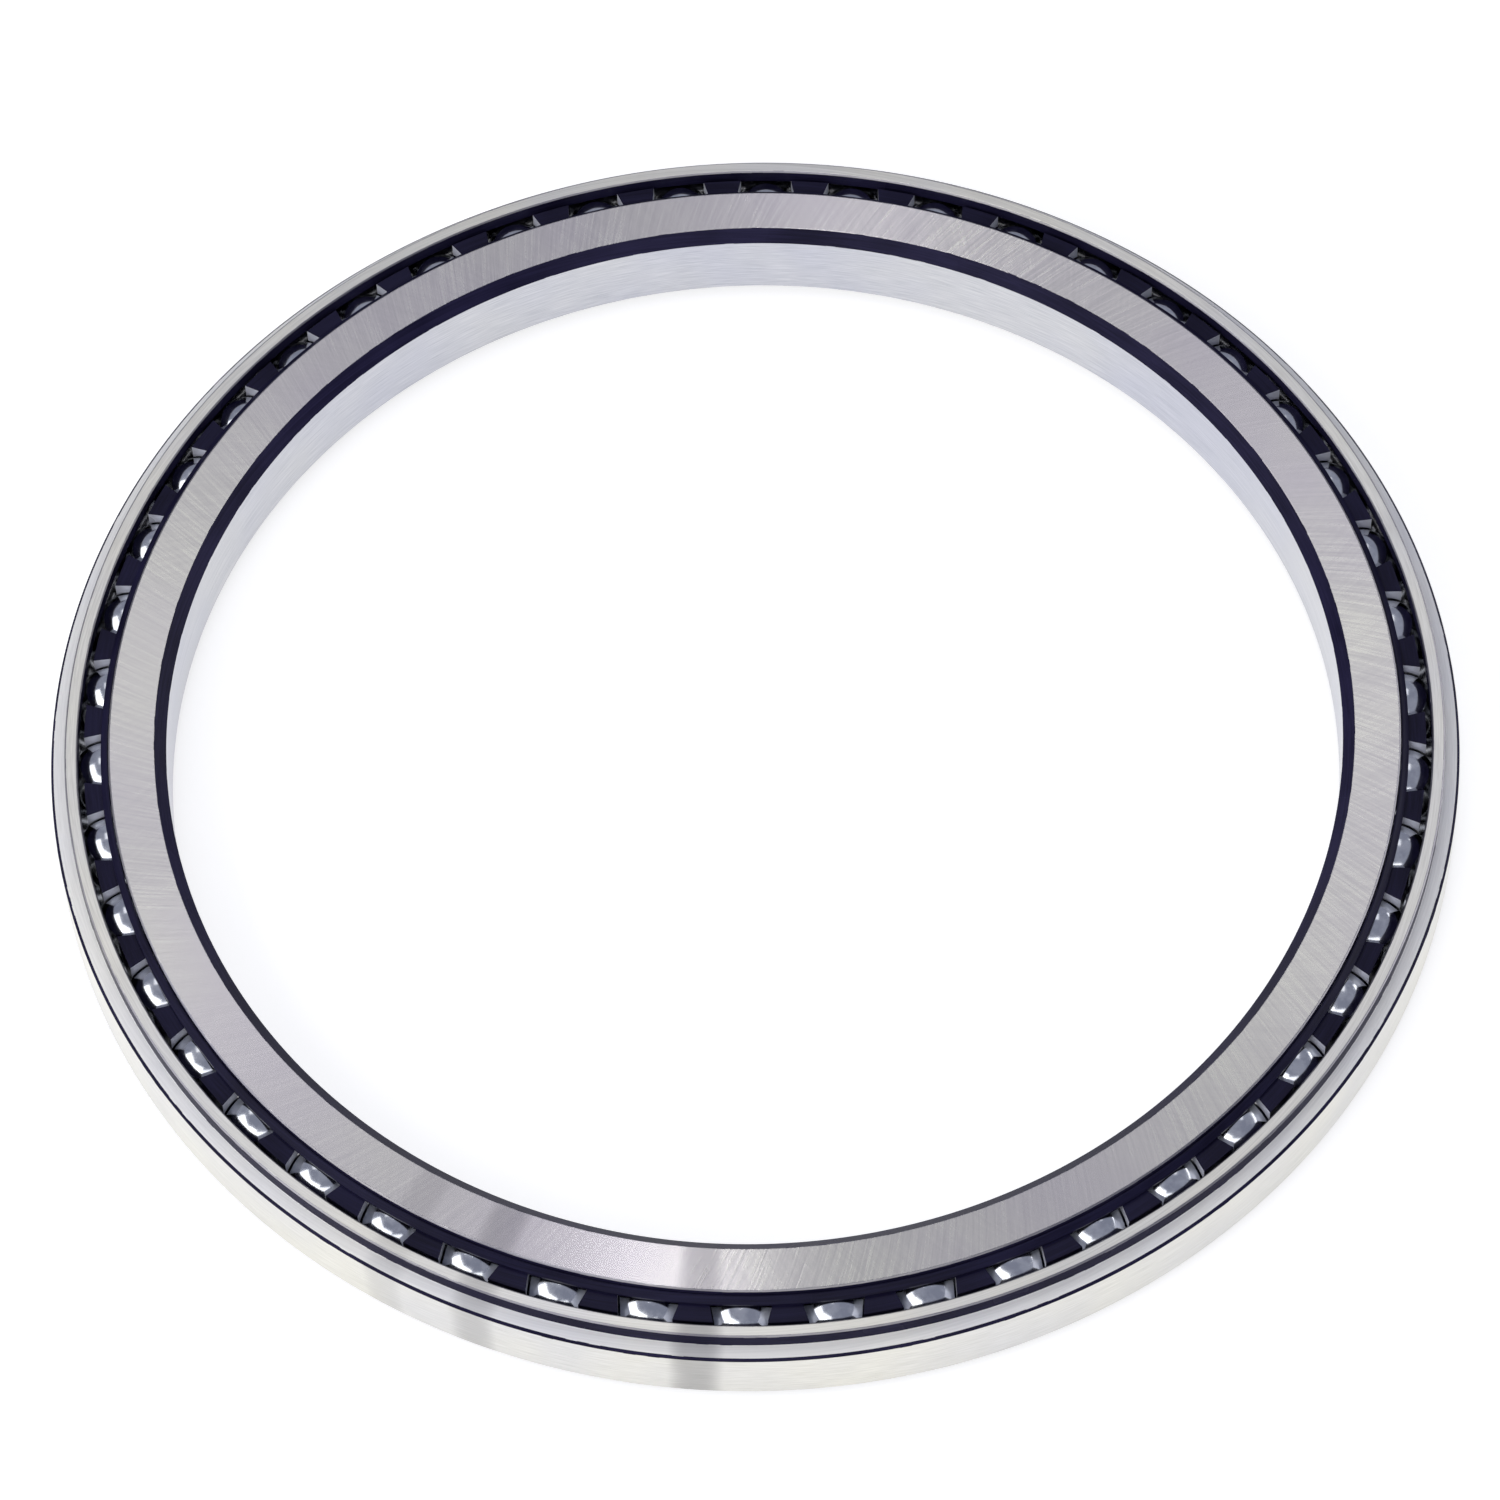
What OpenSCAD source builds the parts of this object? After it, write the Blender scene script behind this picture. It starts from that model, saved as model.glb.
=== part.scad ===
// Thin-section angular contact ball bearing for the travel drive of an excavator.
// It lies on its back faces: the axis is Z, and z = 0 is the plane that both rings rest on.

/* [Rings] */
// Bore diameter of the inner ring, from which all other diameters follow
bore_diameter = 225; // [150:0.5:320]
// Steel between the bore and the nearest point of a ball
bore_to_ball = 4.756; // [4:0.001:10]
// Steel between the farthest point of a ball and the outer ring's seat
ball_to_seat = 3.456; // [2.4:0.001:10]
// Width of the inner ring along the axis
inner_ring_width = 19; // [18.8:0.1:23]
// Width of the outer ring along the axis
outer_ring_width = 17.5; // [17:0.1:21]
// Chamfer at both ends of the bore
bore_chamfer = 2.2; // [0.8:0.1:3]
// Chamfer round the foot of the outer ring's seat
seat_chamfer = 1.5; // [0.5:0.1:2.5]
// Small chamfer that breaks the edges of lands and faces
edge_chamfer = 0.3; // [0.1:0.05:0.5]

/* [Step round the outer ring] */
// Radial thickness of the thin rim that stands above the step
rim_wall = 2.5; // [2:0.1:3]
// Height of that rim above the step
rim_height = 3.3; // [2:0.1:3.8]
// How much lower the step lies at its outer edge than at the rim
step_fall = 0.5; // [0.1:0.05:0.9]
// Chamfer between the step and the seat
step_chamfer = 0.5; // [0.2:0.05:0.8]

/* [Balls and raceways] */
// Diameter of a ball; the rings close round it, and the number of balls follows from it
ball_diameter = 14.288; // [12.7:0.001:15]
// Angle of the contact line to the plane of the bearing
contact_angle = 35; // [15:1:45]
// Radius of a raceway groove as a multiple of the ball diameter
groove_conformity = 0.52; // [0.515:0.001:0.54]
// Running clearance between a ball and each raceway, on the contact line
race_clearance = 0.15; // [0.1:0.01:0.25]
// Turn of the first ball from the X axis
first_ball_turn = 0.81; // [0:0.01:7]

/* [Shoulders] */
// How far the inner ring's high land lies inside the pitch circle
inner_high_land_inset = 0.9; // [0.8:0.05:2]
// How far the inner ring's low land lies inside the pitch circle
inner_low_land_inset = 4.7; // [3.5:0.1:5.2]
// How far the outer ring's open lip lies outside the pitch circle
outer_lip_outset = 5.1; // [4.4:0.1:5.3]
// How far the outer ring's high land lies outside the pitch circle
outer_high_land_outset = 2.1; // [1.6:0.05:4]

/* [Cage] */
// Radial clearance between the cage and the inner ring's high land
cage_land_clearance = 0.2; // [0.15:0.01:0.3]
// Wall thickness of the cage
cage_wall = 1.4; // [1:0.05:1.5]
// Clearance between a ball and its pocket
pocket_clearance = 0.25; // [0.2:0.01:0.3]
// Least width of the bar that the cage keeps between two pockets
cage_bar = 2.1; // [1.2:0.1:6]
// Width of a window where it passes the outside of the cage's wall
window_width = 11.3; // [8:0.1:12]
// Height of the sill that the wall keeps above the flange, below each window
window_sill = 0.1; // [0.05:0.05:0.5]
// Slant of a window's sides, which come closer together towards the outside
window_slant = 11; // [0:1:20]
// Radial clearance between the ribs that stand out between the balls and the outer ring's lip
rib_lip_clearance = 1.1; // [0.5:0.1:2]
// How far the ribs end below the top of the windows
rib_drop = 0.3; // [0.1:0.05:0.6]
// Height of the cage's upper rim above the windows
upper_rim_height = 0.45; // [0.3:0.05:0.8]
// Flat left along the top of the upper rim, inside its 45 degree bevel
upper_rim_flat = 0.3; // [0.2:0.05:0.6]
// Thickness of the flange that turns inwards along the foot of the cage
flange_thickness = 1; // [0.7:0.05:1.1]
// How far that flange reaches inwards from the cage's wall
flange_reach = 2; // [1:0.1:2.4]
// Gap between the cage's foot and the plane that the rings rest on
cage_foot_gap = 0.606; // [0.3:0.002:1]

/* [Hidden] */
$fn = 180;
// A ball is small, so fewer facets already follow it closely
ball_fragments = 48;
// How far a cutting shape runs past the wall that it cuts
overcut = 1;

bore_radius = bore_diameter / 2;
ball_radius = ball_diameter / 2;
pitch_radius = bore_radius + bore_to_ball + ball_radius;
outside_radius = pitch_radius + ball_radius + ball_to_seat;

pocket_radius = ball_radius + pocket_clearance;
ball_height = cage_foot_gap + flange_thickness + pocket_radius;
ball_count = floor(2 * PI * pitch_radius / (2 * pocket_radius + cage_bar));
ball_spacing = 360 / ball_count;
function ball_turn(i) = first_ball_turn + (i - 1) * ball_spacing;
function ball_name(i) = str("ball_", i < 10 ? "0" : "", i);

// Each groove's centre is shifted along the contact line, so that the ball runs closest there
groove_radius = groove_conformity * ball_diameter;
groove_shift = groove_radius - ball_radius - race_clearance;
groove_shift_out = groove_shift * cos(contact_angle);
groove_shift_up = groove_shift * sin(contact_angle);

inner_high_land_radius = pitch_radius - inner_high_land_inset;
inner_low_land_radius = pitch_radius - inner_low_land_inset;
outer_lip_radius = pitch_radius + outer_lip_outset;
outer_high_land_radius = pitch_radius + outer_high_land_outset;

rim_radius = outer_lip_radius + rim_wall;
step_height = outer_ring_width - rim_height;
step_edge_radius = outside_radius - step_chamfer;
step_edge_height = step_height - step_fall;

cage_bore_radius = inner_high_land_radius + cage_land_clearance;
cage_outer_radius = cage_bore_radius + cage_wall;
window_top = ball_height + pocket_radius;
pocket_foot = ball_height - pocket_radius;
window_foot = pocket_foot + window_sill;
upper_rim_edge = window_top + upper_rim_height;
upper_rim_bevel = cage_wall - upper_rim_flat;
cage_top = upper_rim_edge + upper_rim_bevel;
rib_radius = outer_lip_radius - rib_lip_clearance;
rib_top = window_top - rib_drop;
rib_foot = ball_height - (rib_radius - cage_outer_radius);
flange_foot = pocket_foot - flange_thickness;
flange_bore_radius = cage_bore_radius - flange_reach;

// Outline of the outer ring's half section, before its groove is cut
module outer_ring_blank() {
    polygon([
        [outer_high_land_radius, edge_chamfer],
        [outer_high_land_radius + edge_chamfer, 0],
        [outside_radius - seat_chamfer, 0],
        [outside_radius, seat_chamfer],
        [outside_radius, step_edge_height - step_chamfer],
        [step_edge_radius, step_edge_height],
        [rim_radius, step_height],
        [rim_radius, outer_ring_width - edge_chamfer],
        [rim_radius - edge_chamfer, outer_ring_width],
        [outer_lip_radius + edge_chamfer, outer_ring_width],
        [outer_lip_radius, outer_ring_width - edge_chamfer],
        [outer_lip_radius, ball_height],
        [outer_high_land_radius, ball_height]
    ]);
}

// Outline of the inner ring's half section, before its groove is cut
module inner_ring_blank() {
    polygon([
        [bore_radius, bore_chamfer],
        [bore_radius + bore_chamfer, 0],
        [inner_low_land_radius - edge_chamfer, 0],
        [inner_low_land_radius, edge_chamfer],
        [inner_low_land_radius, ball_height],
        [inner_high_land_radius, ball_height],
        [inner_high_land_radius, inner_ring_width - edge_chamfer],
        [inner_high_land_radius - edge_chamfer, inner_ring_width],
        [bore_radius + bore_chamfer, inner_ring_width],
        [bore_radius, inner_ring_width - bore_chamfer]
    ]);
}

// Section of a raceway groove, shifted outwards and upwards from the ball's centre
module groove_section(shift_out, shift_up) {
    translate([pitch_radius + shift_out, ball_height + shift_up]) circle(r = groove_radius);
}

// Outline of the cage's half section: a straight wall with a bevelled rim, a turned-in flange
// and a shoulder of which the windows leave the ribs
module cage_section() {
    polygon([
        [flange_bore_radius, flange_foot],
        [cage_outer_radius, flange_foot],
        [cage_outer_radius, rib_foot],
        [rib_radius, ball_height],
        [rib_radius, rib_top],
        [cage_outer_radius, rib_top],
        [cage_outer_radius, upper_rim_edge],
        [cage_outer_radius - upper_rim_bevel, cage_top],
        [cage_bore_radius, cage_top],
        [cage_bore_radius, pocket_foot],
        [flange_bore_radius, pocket_foot]
    ]);
}

// Half the width of a window at the distance r from the axis
function window_reach(r) = window_width / 2 - (r - cage_outer_radius) * tan(window_slant);

// One cage pocket: a square-cornered window, narrower outwards, that a ball's round pocket widens
module cage_pocket() {
    near = cage_bore_radius - overcut;
    far = rib_radius + overcut;
    translate([pitch_radius, 0, ball_height]) sphere(r = pocket_radius);
    translate([0, 0, window_foot]) linear_extrude(window_top - window_foot) polygon([
        [near, -window_reach(near)],
        [far, -window_reach(far)],
        [far, window_reach(far)],
        [near, window_reach(near)]
    ]);
}

module outer_ring() {
    color("#c9c9cc") rotate_extrude() difference() {
        outer_ring_blank();
        groove_section(-groove_shift_out, groove_shift_up);
    }
}

module inner_ring() {
    color("#c2c3c8") rotate_extrude() difference() {
        inner_ring_blank();
        groove_section(groove_shift_out, -groove_shift_up);
    }
}

module cage() {
    color("#1d1b2b") difference() {
        rotate_extrude() cage_section();
        for (i = [1:ball_count]) {
            rotate([0, 0, ball_turn(i)]) cage_pocket();
        }
    }
}

module ball(i) {
    color("#e2e4e8") rotate([0, 0, ball_turn(i)])
        translate([pitch_radius, 0, ball_height]) sphere(r = ball_radius, $fn = ball_fragments);
}

outer_ring();
inner_ring();
cage();
for (i = [1:ball_count]) {
    ball(i);
}
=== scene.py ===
import math

import bmesh
import bpy
from mathutils import Matrix, Vector


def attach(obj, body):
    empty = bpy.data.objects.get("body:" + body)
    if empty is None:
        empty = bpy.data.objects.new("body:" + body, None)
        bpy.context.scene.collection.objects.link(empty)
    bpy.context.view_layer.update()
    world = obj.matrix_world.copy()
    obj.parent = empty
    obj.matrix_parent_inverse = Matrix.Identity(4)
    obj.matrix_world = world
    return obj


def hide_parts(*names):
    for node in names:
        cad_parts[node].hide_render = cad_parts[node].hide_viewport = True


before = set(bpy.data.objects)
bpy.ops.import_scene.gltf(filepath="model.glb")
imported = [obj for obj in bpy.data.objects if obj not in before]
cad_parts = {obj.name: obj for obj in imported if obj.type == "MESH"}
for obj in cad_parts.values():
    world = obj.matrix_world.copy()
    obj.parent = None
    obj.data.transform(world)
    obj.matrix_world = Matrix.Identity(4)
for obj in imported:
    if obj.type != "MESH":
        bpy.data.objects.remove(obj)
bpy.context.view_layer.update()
MM = 0.001

# Sizes of the bearing in millimetres, as in the CAD source: the axis is Z, and z = 0 is the foot.
BORE_R = 112.5
BORE_CHAMFER = 2.2
INNER_TOP = 19.0
OUTER_R = 134.95         # just under the seat, so that it stays in the box of the faceted CAD mesh
OUTER_TOP = 17.5
SEAT_CHAMFER = 1.5
STEP_CHAMFER = 0.5
STEP_FALL = 0.5
STEP_Z = OUTER_TOP - 3.3
EDGE_CHAMFER = 0.3
PITCH_R = 124.4
LOW_LAND_R = PITCH_R - 4.7
HIGH_LAND_R = PITCH_R - 0.9
LIP_R = PITCH_R + 5.1
RIM_R = LIP_R + 2.5
FOOT_LAND_R = PITCH_R + 2.1
BALL_R = 7.144
BALL_Z = 9.0
BALL_COUNT = 46
FIRST_BALL = math.radians(0.81)
GROOVE_R = 0.52 * 2 * BALL_R
GROOVE_SHIFT = GROOVE_R - BALL_R - 0.15
CONTACT = math.radians(35)

# Fineness of the turned pieces: enough steps for mirror-like steel to show no facets.
TURN_STEPS = 384
RACE_STEPS = 18
SOFT_EDGE = 0.1          # radius that tumbling and handling leave on every edge, in millimetres


# Materials

def linear(hex_colour):
    """An sRGB hex colour as linear RGBA."""
    parts = [int(hex_colour[i:i + 2], 16) / 255 for i in (1, 3, 5)]
    return [c / 12.92 if c <= 0.04045 else ((c + 0.055) / 1.055) ** 2.4 for c in parts] + [1.0]


def per_metre(mm):
    """The noise scale at which a feature is about this many millimetres wide."""
    return 1 / (mm * MM)


def feed(tree, node, inputs):
    """Gives each input of a node a value, or a link from another node's output."""
    for key, value in inputs.items():
        if isinstance(value, bpy.types.NodeSocket):
            tree.links.new(value, node.inputs[key])
        else:
            node.inputs[key].default_value = value


def add(tree, kind, settings=None, inputs=None, output=0):
    """Adds a node with its settings and inputs and returns one output. Stops are a ramp's colours."""
    node = tree.nodes.new("ShaderNode" + kind)
    for key, value in (settings or {}).items():
        if key == "stops":
            node.color_ramp.elements[0].position = value[0][0]
            node.color_ramp.elements[0].color = linear(value[0][1])
            node.color_ramp.elements[1].position = value[-1][0]
            node.color_ramp.elements[1].color = linear(value[-1][1])
            for position, colour in value[1:-1]:
                node.color_ramp.elements.new(position).color = linear(colour)
        else:
            setattr(node, key, value)
    feed(tree, node, inputs or {})
    return node.outputs[output]


def new_finish(name, **values):
    """A new material with plain values on its shader, and its tree, shader and object coordinates."""
    material = bpy.data.materials.new(name)
    material.use_nodes = True
    tree = material.node_tree
    shader = tree.nodes["Principled BSDF"]
    feed(tree, shader, {key.replace("_", " "): value for key, value in values.items()})
    return material, tree, shader, add(tree, "TexCoord", output="Object")


def from_axis(tree, place):
    """The way from the bearing's axis to a point: the level vector, its length and its heading."""
    level = add(tree, "VectorMath", {"operation": "MULTIPLY"}, {0: place, 1: (1.0, 1.0, 0.0)})
    reach = add(tree, "VectorMath", {"operation": "LENGTH"}, {0: level}, "Value")
    heading = add(tree, "VectorMath", {"operation": "NORMALIZE"}, {0: level})
    return level, reach, heading


def stretch_highlight(tree, shader, amount):
    """Stretches the highlights across tool marks that run round the axis."""
    tangent = add(tree, "Tangent", {"direction_type": "RADIAL", "axis": "Z"})
    feed(tree, shader, {"Anisotropic": amount, "Anisotropic Rotation": 0.25, "Tangent": tangent})


def slanted_marks(tree, place, slant, line_mm):
    """Fine lines across a face: noise on the heading, which turns with the distance, so that they slant."""
    level, reach, _ = from_axis(tree, place)
    turn = add(tree, "Math", {"operation": "MULTIPLY"}, {0: reach, 1: slant})
    turned = add(tree, "VectorRotate", {"rotation_type": "Z_AXIS"}, {"Vector": level, "Angle": turn})
    around = add(tree, "VectorMath", {"operation": "NORMALIZE"}, {0: turned})
    spread = add(tree, "VectorMath", {"operation": "SCALE"}, {0: around, "Scale": PITCH_R / line_mm})
    # Along its length each line changes after about 14 mm.
    outwards = add(tree, "Math", {"operation": "DIVIDE"}, {0: reach, 1: 14 * MM})
    drift = add(tree, "CombineXYZ", {}, {"Z": outwards})
    where = add(tree, "VectorMath", {"operation": "ADD"}, {0: spread, 1: drift})
    return add(tree, "TexNoise", {}, {"Vector": where, "Scale": 1.0, "Detail": 3.0, "Roughness": 0.6})


def turned_marks(tree, place, line_mm):
    """Fine lines round the axis, as a turning tool or a grinding wheel leaves them."""
    level, reach, _ = from_axis(tree, place)
    height = add(tree, "SeparateXYZ", {}, {"Vector": place}, "Z")
    section = add(tree, "CombineXYZ", {}, {"X": reach, "Y": height})
    # Along the ring the lines change 25 times more slowly than across it.
    drift = add(tree, "VectorMath", {"operation": "SCALE"}, {0: level, "Scale": 0.04})
    where = add(tree, "VectorMath", {"operation": "ADD"}, {0: section, 1: drift})
    return add(tree, "TexNoise", {}, {"Vector": where, "Scale": per_metre(line_mm), "Roughness": 0.6})


def with_painted_reflection_bars(tree, place, colour):
    """Darkens a colour in three soft bars across the rings: painted dark reflections of the studio's
    window-frame bars.
    """
    _, _, heading = from_axis(tree, place)
    wave = add(tree, "TexNoise", {}, {"Vector": place, "Scale": per_metre(11)})
    wobble = add(tree, "Math", {"operation": "MULTIPLY_ADD"}, {0: wave, 1: 0.0006, 2: -0.0003})
    # Heading and half width in degrees, and how dark the middle is.
    for degrees, half_width, depth in ((237.5, 2.0, 0.16), (245.3, 2.2, 0.3), (263.4, 2.4, 0.42)):
        middle = (math.cos(math.radians(degrees)), math.sin(math.radians(degrees)), 0.0)
        along = add(tree, "VectorMath", {"operation": "DOT_PRODUCT"}, {0: heading, 1: middle}, "Value")
        near = add(tree, "Math", {"operation": "ADD"}, {0: along, 1: wobble})
        edge = math.cos(math.radians(half_width))
        bar = add(tree, "MapRange", {"interpolation_type": "SMOOTHSTEP"},
                  {"Value": near, "From Min": edge, "From Max": 1.0, "To Max": depth})
        # Each bar blends the colour toward the dark blue-grey of the painted reflection.
        colour = add(tree, "Mix", {"data_type": "RGBA"}, {0: bar, 6: colour, 7: linear("#3a3846")}, 2)
    return colour


def ground_face():
    """Face-ground bearing steel: faint slanted wheel marks in patches, over warm and violet grey clouds."""
    material, tree, shader, place = new_finish("ground_steel_face", Metallic=1.0)
    stretch_highlight(tree, shader, 1.0)
    # The real marks are about 0.1 mm apart. They are drawn at 0.6 mm and more, so that they show in a
    # view of the whole.
    # 3.4 radians a metre is a slant of 22 degrees to the radius of this ring.
    first = slanted_marks(tree, place, 3.4, 0.6)
    second = slanted_marks(tree, place, -5.0, 0.9)
    patches = add(tree, "TexNoise", {}, {"Vector": place, "Scale": per_metre(36)})
    strength = add(tree, "MapRange", {},
                   {"Value": patches, "From Min": 0.38, "From Max": 0.62, "To Min": 0.2})
    share = add(tree, "Math", {"operation": "MULTIPLY_ADD"}, {0: second, 1: 0.25, 2: -0.5})
    crossed = add(tree, "Math", {"operation": "MULTIPLY_ADD"}, {0: first, 1: 0.75, 2: share})
    marks = add(tree, "Math", {"operation": "MULTIPLY_ADD"}, {0: crossed, 1: strength, 2: 0.5})
    tone = add(tree, "ValToRGB", {"stops": [(0.36, "#c1bfc1"), (0.5, "#cfcdcd"), (0.66, "#e2e1dd")]},
               {"Fac": marks})
    clouds = add(tree, "TexNoise", {}, {"Vector": place, "Scale": per_metre(62), "Detail": 3.0})
    tint = add(tree, "ValToRGB", {"stops": [(0.35, "#f0ecf1"), (0.65, "#fbfaf3")]}, {"Fac": clouds})
    colour = add(tree, "Mix", {"data_type": "RGBA", "blend_type": "MULTIPLY"}, {0: 1.0, 6: tone, 7: tint}, 2)
    feed(tree, shader, {
        # The base colour carries three painted dark reflection bars.
        "Base Color": with_painted_reflection_bars(tree, place, colour),
        "Roughness": add(tree, "Math", {"operation": "MULTIPLY_ADD"}, {0: marks, 1: 0.16, 2: 0.18}),
        "Normal": add(tree, "Bump", {}, {"Height": marks, "Strength": 0.06, "Distance": 0.2 * MM}),
    })
    return material


def ground_round(name, dark, light, roughness, line_mm, metallic=1.0):
    """Cylindrically ground or turned steel: lines round the axis and a highlight stretched across them."""
    material, tree, shader, place = new_finish(name, Metallic=metallic)
    stretch_highlight(tree, shader, 0.5)
    marks = turned_marks(tree, place, line_mm)
    tone = add(tree, "ValToRGB", {"stops": [(0.34, dark), (0.66, light)]}, {"Fac": marks})
    clouds = add(tree, "TexNoise", {}, {"Vector": place, "Scale": per_metre(33)})
    tint = add(tree, "ValToRGB", {"stops": [(0.35, "#f0f0f4"), (0.65, "#faf9f5")]}, {"Fac": clouds})
    colour = add(tree, "Mix", {"data_type": "RGBA", "blend_type": "MULTIPLY"}, {0: 1.0, 6: tone, 7: tint}, 2)
    feed(tree, shader, {
        # The base colour carries three painted dark reflection bars.
        "Base Color": with_painted_reflection_bars(tree, place, colour),
        "Roughness": add(tree, "Math", {"operation": "MULTIPLY_ADD"},
                         {0: marks, 1: 0.12, 2: roughness - 0.06}),
        "Normal": add(tree, "Bump", {}, {"Height": marks, "Strength": 0.08, "Distance": 0.1 * MM}),
    })
    return material


def blued_steel(name, dark, light, roughness, gloss):
    """Heat-treated steel that no wheel has ground: near-black navy, a tight sheen, faint tool marks."""
    material, tree, shader, place = new_finish(name, Specular_IOR_Level=gloss)
    marks = turned_marks(tree, place, 0.35)
    clouds = add(tree, "TexNoise", {}, {"Vector": place, "Scale": per_metre(17), "Detail": 3.0})
    both = add(tree, "Math", {"operation": "ADD"}, {0: marks, 1: clouds})
    half = add(tree, "Math", {"operation": "MULTIPLY"}, {0: both, 1: 0.5})
    feed(tree, shader, {
        "Base Color": add(tree, "ValToRGB", {"stops": [(0.38, dark), (0.62, light)]}, {"Fac": half}),
        "Roughness": add(tree, "Math", {"operation": "MULTIPLY_ADD"},
                         {0: clouds, 1: 0.2, 2: roughness - 0.1}),
        "Normal": add(tree, "Bump", {}, {"Height": half, "Strength": 0.1, "Distance": 0.1 * MM}),
    })
    return material, tree, shader, place


def oxide_cage():
    """Black oxide on the cage's pressed steel, rubbed bright by the balls on the flanks of the windows."""
    material, tree, shader, place = blued_steel("black_oxide_cage_steel", "#141225", "#211f38", 0.3, 0.07)
    # A flank faces along the ring, so that its normal is square to the heading from the axis.
    _, _, heading = from_axis(tree, place)
    normal = add(tree, "TexCoord", output="Normal")
    square = add(tree, "VectorMath", {"operation": "CROSS_PRODUCT"}, {0: heading, 1: normal})
    upright = add(tree, "SeparateXYZ", {}, {"Vector": square}, "Z")
    facing = add(tree, "Math", {"operation": "ABSOLUTE"}, {0: upright})
    worn = add(tree, "MapRange", {"interpolation_type": "SMOOTHSTEP"},
               {"Value": facing, "From Min": 0.8, "From Max": 0.95})
    black = shader.inputs["Base Color"].links[0].from_socket
    feed(tree, shader, {
        "Base Color": add(tree, "Mix", {"data_type": "RGBA"}, {0: worn, 6: black, 7: linear("#dcdde6")}, 2),
        "Metallic": add(tree, "Math", {"operation": "MULTIPLY"}, {0: worn, 1: 0.3}),
    })
    return material


def lapped_balls():
    """Lapped ball steel under a film of oil: a clean mirror with smears a few millimetres wide."""
    material, tree, shader, place = new_finish("lapped_ball_steel", Metallic=1.0)
    film = add(tree, "TexNoise", {}, {"Vector": place, "Scale": per_metre(2.4), "Detail": 3.0})
    feed(tree, shader, {
        "Base Color": add(tree, "ValToRGB", {"stops": [(0.4, "#d3d6dc"), (0.62, "#eceef0")]}, {"Fac": film}),
        "Roughness": add(tree, "Math", {"operation": "MULTIPLY_ADD"}, {0: film, 1: 0.12, 2: 0.1}),
    })
    return material


def white_paper():
    """Matt white paper: white to the eye and in the steel, with the bearing's shadow from the lamps."""
    material, tree, shader, _ = new_finish("white_paper_floor", Base_Color=linear("#bcbcbc"), Roughness=0.9,
                                           Specular_IOR_Level=0.0, Emission_Color=(1.0, 1.0, 1.0, 1.0))
    camera = add(tree, "LightPath", output="Is Camera Ray")
    glossy = add(tree, "LightPath", output="Is Glossy Ray")
    seen = add(tree, "Math", {"operation": "MAXIMUM"}, {0: camera, 1: glossy})
    glow = add(tree, "Math", {"operation": "MULTIPLY"}, {0: seen, 1: 0.72})
    feed(tree, shader, {"Emission Strength": glow})
    return material


# The real turning marks are 0.05 to 0.1 mm apart. They are drawn at 0.2 mm and more, so that they show
# in a view of the whole.
FINISH = {
    "face": ground_face(),
    "bore": ground_round("ground_steel_bore", "#c2c4cc", "#dadbe1", 0.3, 0.25),
    "seat": ground_round("ground_steel_seat", "#dddcd6", "#efeee9", 0.3, 0.25),
    "rim": ground_round("turned_steel_rim_face", "#d6d4cd", "#ebe9e2", 0.36, 0.3),
    "step": ground_round("satin_turned_step", "#efeeeb", "#faf9f6", 0.5, 0.3, 0.0),
    "race": ground_round("honed_raceway", "#c4c6cc", "#dcdde2", 0.14, 0.2),
    "edge": ground_round("broken_edge", "#8e8c92", "#a8a6aa", 0.4, 0.2),
    "blued": blued_steel("blued_steel_edge", "#19172c", "#282540", 0.26, 0.04)[0],
}
CAGE_STEEL = oxide_cage()
BALL_STEEL = lapped_balls()


# Rings

def raceway(side, start, end):
    """The arc of a groove from land to land, with side 1 for the outer ring and -1 for the inner one.

    Each land is its radius, and 1 or -1 where it meets the groove above or below the groove's centre.
    """
    centre_r = PITCH_R - side * GROOVE_SHIFT * math.cos(CONTACT)
    centre_z = BALL_Z + side * GROOVE_SHIFT * math.sin(CONTACT)
    first, last = [above * math.acos(side * (land_r - centre_r) / GROOVE_R) for land_r, above in (start, end)]
    turns = [first + (last - first) * step / RACE_STEPS for step in range(RACE_STEPS + 1)]
    return [(centre_r + side * GROOVE_R * math.cos(turn), centre_z + GROOVE_R * math.sin(turn), "race")
            for turn in turns]


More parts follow.
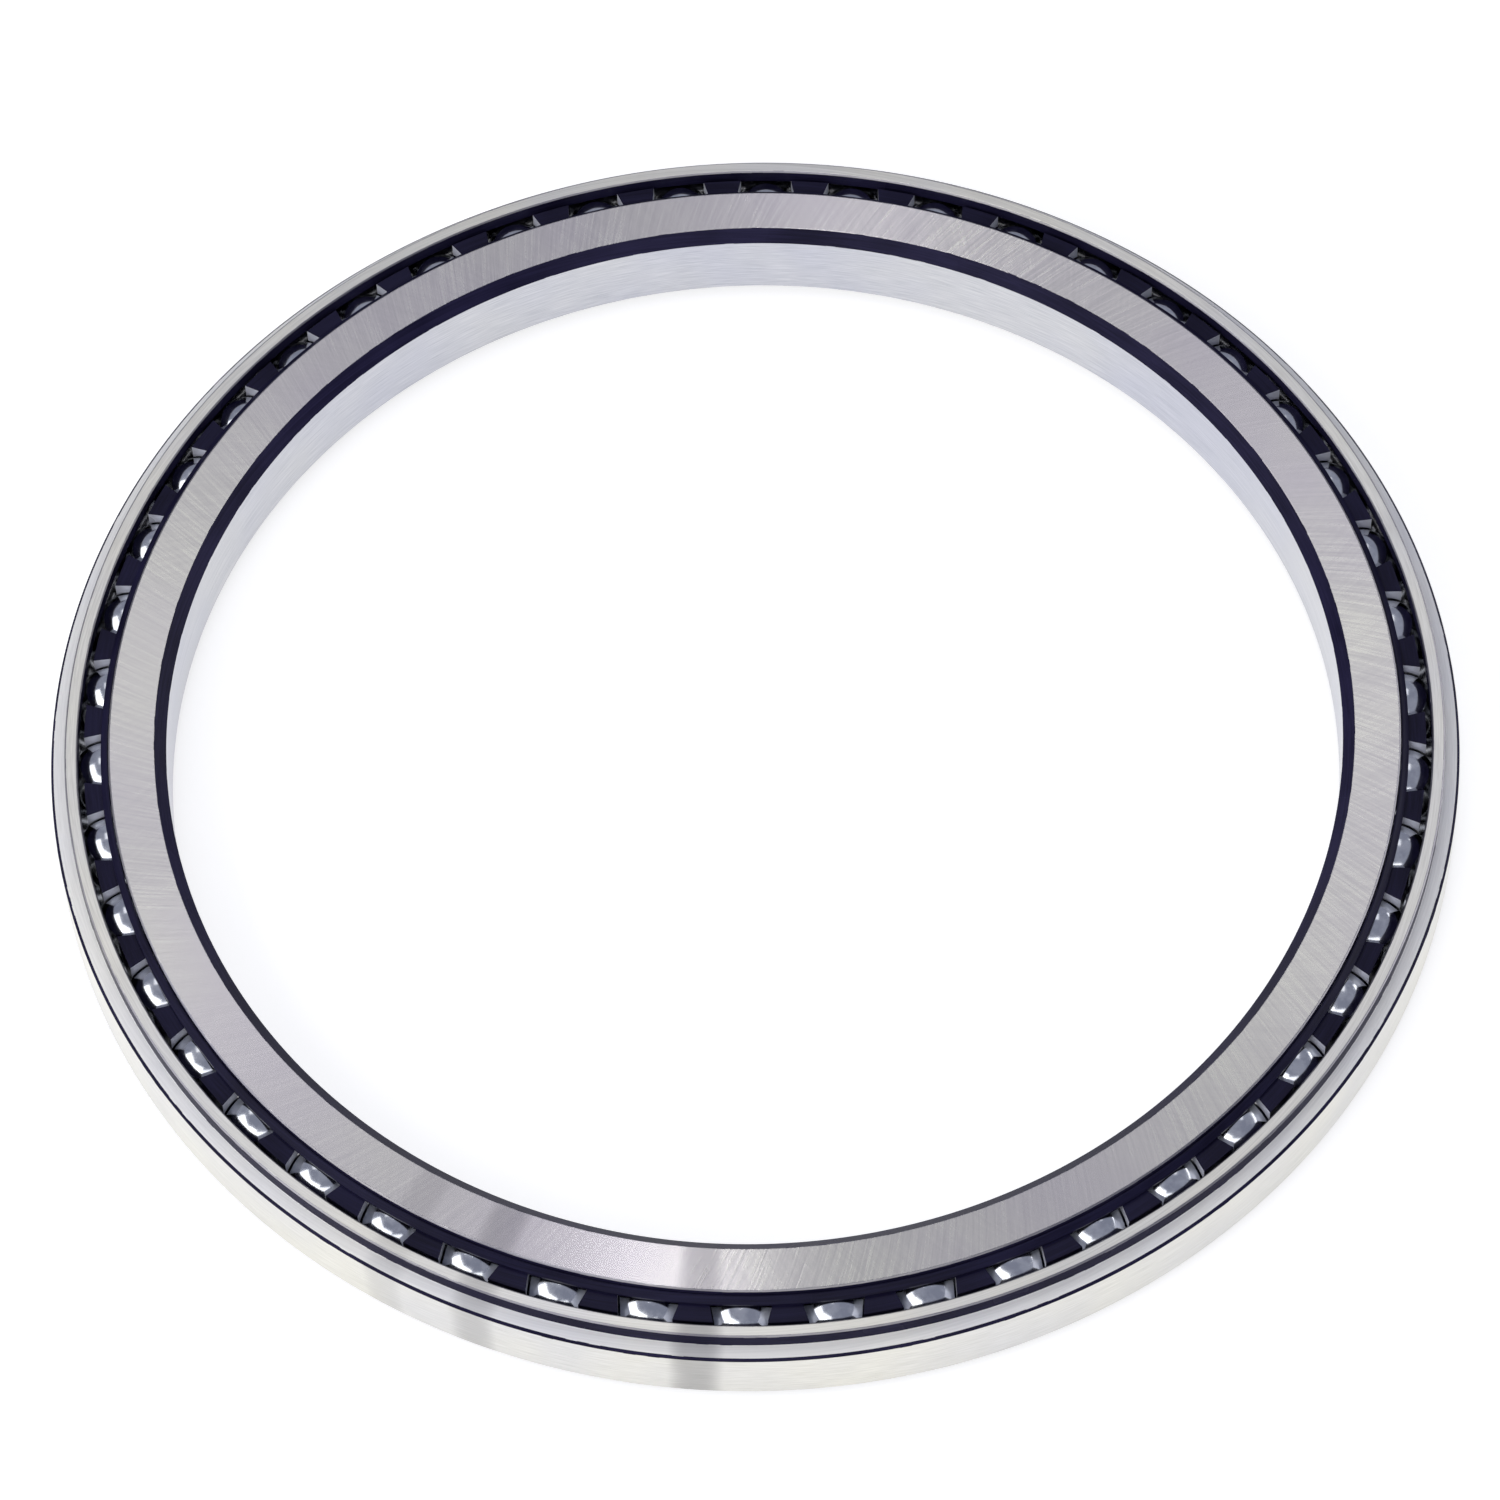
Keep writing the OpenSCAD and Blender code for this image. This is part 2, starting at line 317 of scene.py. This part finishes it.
def turned_ring(name, outline, body, node):
    """A ring turned from a closed outline of (r mm, z mm, finish of the next side), for a CAD node."""
    finishes = sorted({finish for _, _, finish in outline})
    bm = bmesh.new()
    corners = [bm.verts.new((r * MM, 0, z * MM)) for r, z, _ in outline]
    sides = [bm.edges.new(ends) for ends in zip(corners, corners[1:] + corners[:1])]
    middles = [(side.verts[0].co + side.verts[1].co) / 2 for side in sides]
    bmesh.ops.spin(bm, geom=corners + sides, cent=(0, 0, 0), axis=(0, 0, 1), dvec=(0, 0, 0),
                   angle=2 * math.pi, steps=TURN_STEPS, use_merge=True, use_duplicate=False)
    bmesh.ops.remove_doubles(bm, verts=bm.verts, dist=0.001 * MM)
    bmesh.ops.recalc_face_normals(bm, faces=bm.faces)
    # Each band takes the finish of the side that it was turned from.
    for face in bm.faces:
        centre = face.calc_center_median()
        in_section = Vector((centre.xy.length, 0, centre.z))
        turned_from = min(range(len(middles)), key=lambda i: (middles[i] - in_section).length_squared)
        face.material_index = finishes.index(outline[turned_from][2])
    ridges = [edge for edge in bm.edges if edge.calc_face_angle() > math.radians(15)]
    rounded = set(bmesh.ops.bevel(bm, geom=ridges, offset=SOFT_EDGE * MM, offset_type="OFFSET", segments=3,
                                  profile=0.5, affect="EDGES", material=-1, clamp_overlap=True)["faces"])
    # The flat faces stay flat to the eye: only the grooves, the bands and the roundings shade smoothly.
    for edge in bm.edges:
        edge.smooth = len({face in rounded for face in edge.link_faces}) == 1
    for face in bm.faces:
        face.smooth = True
    mesh = bpy.data.meshes.new(name)
    bm.to_mesh(mesh)
    bm.free()
    for finish in finishes:
        mesh.materials.append(FINISH[finish])
    made = bpy.data.objects.new(name, mesh)
    bpy.context.scene.collection.objects.link(made)
    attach(made, body)
    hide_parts(node)


# Inner ring: bore chamfer, foot, low land, raceway, high land, wide face, and back down the bore.
inner_race = raceway(-1, (LOW_LAND_R, -1), (HIGH_LAND_R, 1))
turned_ring("inner_ring_turned", [
    (BORE_R, BORE_CHAMFER, "blued"),
    (BORE_R + BORE_CHAMFER, 0, "face"),
    (LOW_LAND_R - EDGE_CHAMFER, 0, "edge"),
    (LOW_LAND_R, EDGE_CHAMFER, "race"),
    *inner_race[:-1],
    (*inner_race[-1][:2], "blued"),
    (HIGH_LAND_R, INNER_TOP - EDGE_CHAMFER, "edge"),
    (HIGH_LAND_R - EDGE_CHAMFER, INNER_TOP, "face"),
    (BORE_R + BORE_CHAMFER, INNER_TOP, "blued"),
    (BORE_R, INNER_TOP - BORE_CHAMFER, "bore"),
], "inner", "inner_ring")

# Outer ring: foot, seat, step, rim, open lip, raceway and the high land that the foot starts from.
turned_ring("outer_ring_turned", [
    (FOOT_LAND_R, EDGE_CHAMFER, "edge"),
    (FOOT_LAND_R + EDGE_CHAMFER, 0, "face"),
    (OUTER_R - SEAT_CHAMFER, 0, "blued"),
    (OUTER_R, SEAT_CHAMFER, "seat"),
    (OUTER_R, STEP_Z - STEP_FALL - STEP_CHAMFER, "blued"),
    (OUTER_R - STEP_CHAMFER, STEP_Z - STEP_FALL, "step"),
    (RIM_R, STEP_Z, "blued"),
    (RIM_R, OUTER_TOP - EDGE_CHAMFER, "edge"),
    (RIM_R - EDGE_CHAMFER, OUTER_TOP, "rim"),
    (LIP_R + EDGE_CHAMFER, OUTER_TOP, "edge"),
    (LIP_R, OUTER_TOP - EDGE_CHAMFER, "blued"),
    *raceway(1, (LIP_R, 1), (FOOT_LAND_R, -1)),
], "outer", "outer_ring")


# Balls and cage

# Each ball is a finer sphere than the CAD mesh, because a mirror shows every facet.
for i in range(BALL_COUNT):
    node = f"ball_{i + 1:02d}"
    turn = FIRST_BALL + i * 2 * math.pi / BALL_COUNT
    centre = Matrix.Translation(Vector((PITCH_R * math.cos(turn), PITCH_R * math.sin(turn), BALL_Z)) * MM)
    bm = bmesh.new()
    bmesh.ops.create_icosphere(bm, subdivisions=4, radius=BALL_R * MM, matrix=centre)
    for face in bm.faces:
        face.smooth = True
    mesh = bpy.data.meshes.new(node + "_lapped")
    bm.to_mesh(mesh)
    bm.free()
    mesh.materials.append(BALL_STEEL)
    ball = bpy.data.objects.new(node + "_lapped", mesh)
    bpy.context.scene.collection.objects.link(ball)
    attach(ball, node + "_body")
    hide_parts(node)

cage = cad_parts["cage"]
for slot in range(len(cage.data.materials)):
    cage.data.materials[slot] = CAGE_STEEL


# Stage and lamps

floor_mesh = bpy.data.meshes.new("floor")
bm = bmesh.new()
bmesh.ops.create_grid(bm, x_segments=1, y_segments=1, size=4.0)
bm.to_mesh(floor_mesh)
bm.free()
floor_mesh.materials.append(white_paper())
floor = bpy.data.objects.new("floor", floor_mesh)
bpy.context.scene.collection.objects.link(floor)

world = bpy.data.worlds.new("studio")
bpy.context.scene.world = world
world.use_nodes = True
background = world.node_tree.nodes["Background"]
# The camera sees the studio as pale as the far floor; the steel and the light get its dim blue-grey ceiling.
seen = add(world.node_tree, "LightPath", output="Is Camera Ray")
pale = add(world.node_tree, "Mix", {"data_type": "RGBA"},
           {0: seen, 6: linear("#b9bdd0"), 7: linear("#f9fbff")}, 2)
level = add(world.node_tree, "Math", {"operation": "MULTIPLY_ADD"}, {0: seen, 1: 0.33, 2: 0.55})
feed(world.node_tree, background, {"Color": pale, "Strength": level})


def lamp(name, azimuth, elevation, distance, width, height, brightness):
    """A soft lamp that looks at the bearing. Azimuth 0 is +X and 90 is +Y; brightness 1 is white."""
    data = bpy.data.lights.new(name, "AREA")
    data.shape = "RECTANGLE"
    data.size = width
    data.size_y = height
    data.energy = brightness * math.pi * width * height
    made = bpy.data.objects.new(name, data)
    a, e = math.radians(azimuth), math.radians(elevation)
    away = Vector((math.cos(a) * math.cos(e), math.sin(a) * math.cos(e), math.sin(e)))
    turn = away.to_track_quat("Z", "Y").to_matrix().to_4x4()
    made.matrix_world = Matrix.Translation(away * distance) @ turn
    bpy.context.scene.collection.objects.link(made)


# A low window on the right and a tall one on the left give the near balls a bright left and right,
# with the dim ceiling between them.
lamp("right_window", 14, 12, 1.5, 1.5, 0.75, 2.0)
lamp("left_window", 195, 32, 1.5, 1.7, 1.3, 1.7)
lamp("front_left_window", 236, 45, 1.5, 0.7, 0.7, 1.6)
# The flat faces mirror the broad far window to the camera. The strip above it whitens them only where their
# highlights stretch towards it.
lamp("far_window", 90, 62, 1.5, 1.4, 0.6, 0.85)
lamp("strip_lamp", 102, 76, 1.3, 0.04, 0.25, 14.0)
# The low front window gives the satin step and the outside their pale tone.
lamp("front_window", 270, 35, 2.2, 2.0, 1.2, 1.4)


# Camera

def photo_camera():
    """The camera fitted to the photograph's circles: its elevation, roll, distance and lens."""
    # The fit is in pixels of the photograph and in a length of its own, given here in metres.
    image, centre_x, centre_y = 1500, 753.5, 716.7
    unit = 0.13453
    elevation, roll = math.radians(58.36), math.radians(2.35)
    focal, distance = 7410.0, 10.526
    back = Vector((0, -math.cos(elevation), math.sin(elevation)))
    right = Vector((1, 0, 0))
    up = Vector((0, math.sin(elevation), math.cos(elevation)))
    cam_right = right * math.cos(roll) - up * math.sin(roll)
    cam_up = right * math.sin(roll) + up * math.cos(roll)
    off_x = (centre_x - image / 2) / focal * distance
    off_y = -(centre_y - image / 2) / focal * distance
    place = (back * distance - cam_right * off_x - cam_up * off_y) * unit + Vector((0, 0, INNER_TOP * MM))
    data = bpy.data.cameras.new("photo_camera")
    data.lens = focal / image * data.sensor_width
    data.clip_end = 20
    camera = bpy.data.objects.new("photo_camera", data)
    rotation = Matrix((cam_right, cam_up, back)).transposed().to_4x4()
    camera.matrix_world = Matrix.Translation(place) @ rotation
    bpy.context.scene.collection.objects.link(camera)
    bpy.context.scene.camera = camera


photo_camera()
bpy.context.scene.view_settings.view_transform = "Standard"
